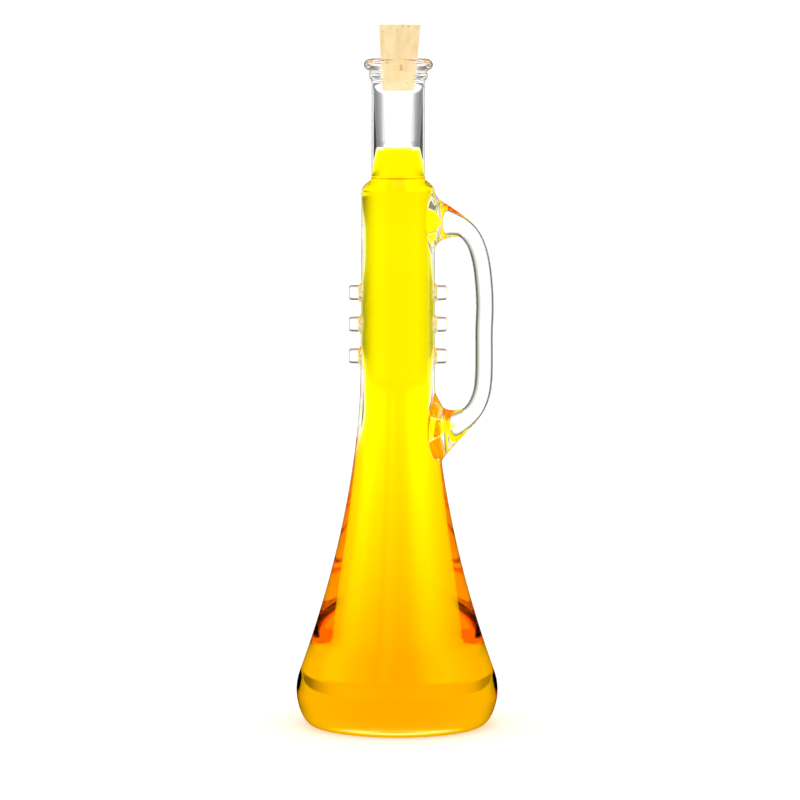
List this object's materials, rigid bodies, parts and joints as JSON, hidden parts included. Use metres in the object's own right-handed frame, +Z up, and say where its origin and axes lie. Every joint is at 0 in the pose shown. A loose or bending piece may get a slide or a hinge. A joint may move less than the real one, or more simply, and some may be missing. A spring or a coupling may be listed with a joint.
{
  "type": "corked glass bottle with drink",
  "caption": "Clear trumpet-shaped glass bottle with a flared base, side handle and valve-like lugs, filled with a yellow drink and closed by a tapered cork.",
  "frame": {"origin": "on the bottle's axis, in the plane that it stands on", "axes": "+Z up along the bottle's axis, +X towards the side handle"},
  "size_m": [0.0918, 0.0918, 0.3175],
  "materials": {
    "clear_glass": "polished clear glass",
    "yellow_drink": "clear bright yellow drink",
    "natural_cork": "natural cork"
  },
  "bodies": {
    "root": {"glass_bottle": "clear_glass", "liquid": "yellow_drink", "cork": "natural_cork"}
  },
  "joints": []
}
